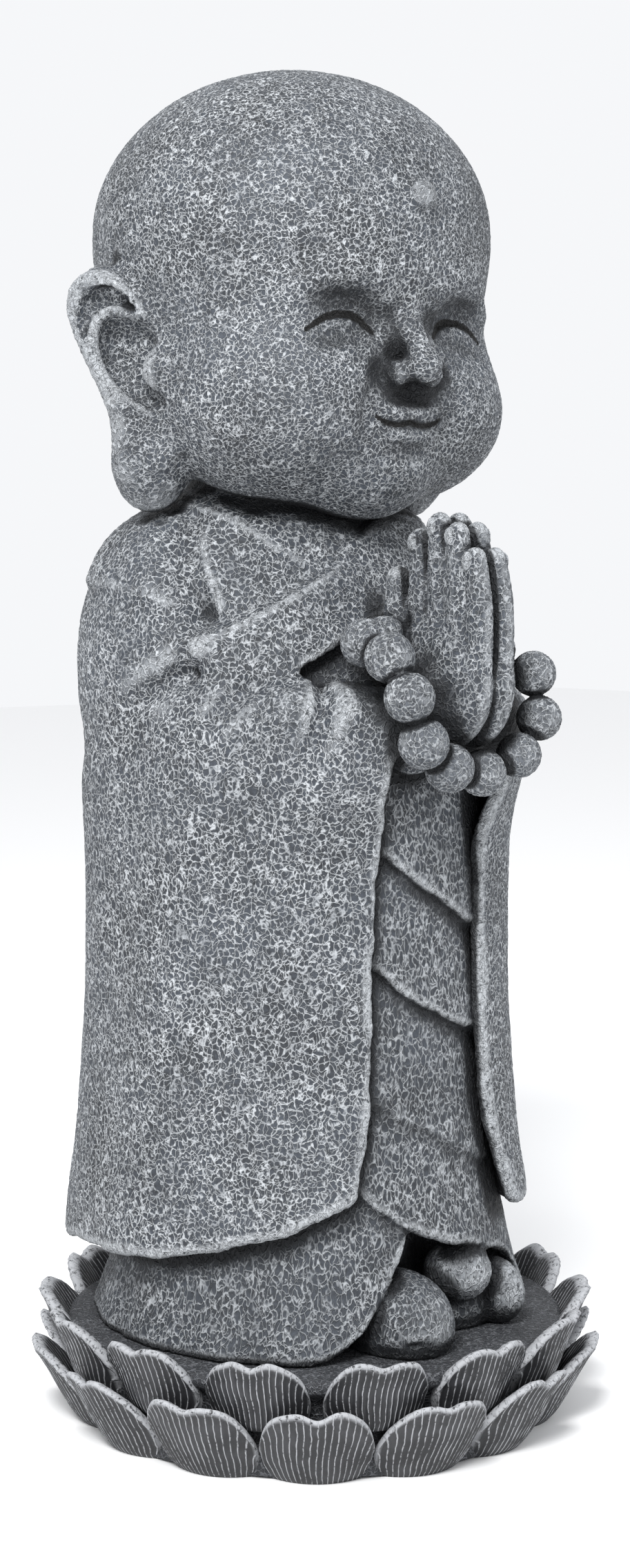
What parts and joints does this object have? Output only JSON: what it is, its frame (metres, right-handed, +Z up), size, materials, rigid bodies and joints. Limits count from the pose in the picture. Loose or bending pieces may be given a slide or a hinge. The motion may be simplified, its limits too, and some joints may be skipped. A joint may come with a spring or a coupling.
{
  "type": "stone jizo statue",
  "caption": "Standing child monk with closed eyes and hands joined in prayer inside a loop of beads, in layered robes, on a round base of lotus petals.",
  "frame": {"origin": "middle of the underside of the lotus base", "axes": "+Z up, the figure faces -Y, its right hand is towards -X"},
  "size_m": [0.291, 0.2886, 0.6693],
  "materials": {
    "lotus_base": "matt charcoal with pale ribs",
    "figure": "matt hammered charcoal with pale worn ridges"
  },
  "bodies": {
    "root": {"lotus_base": "lotus_base", "figure": "figure"}
  },
  "joints": []
}
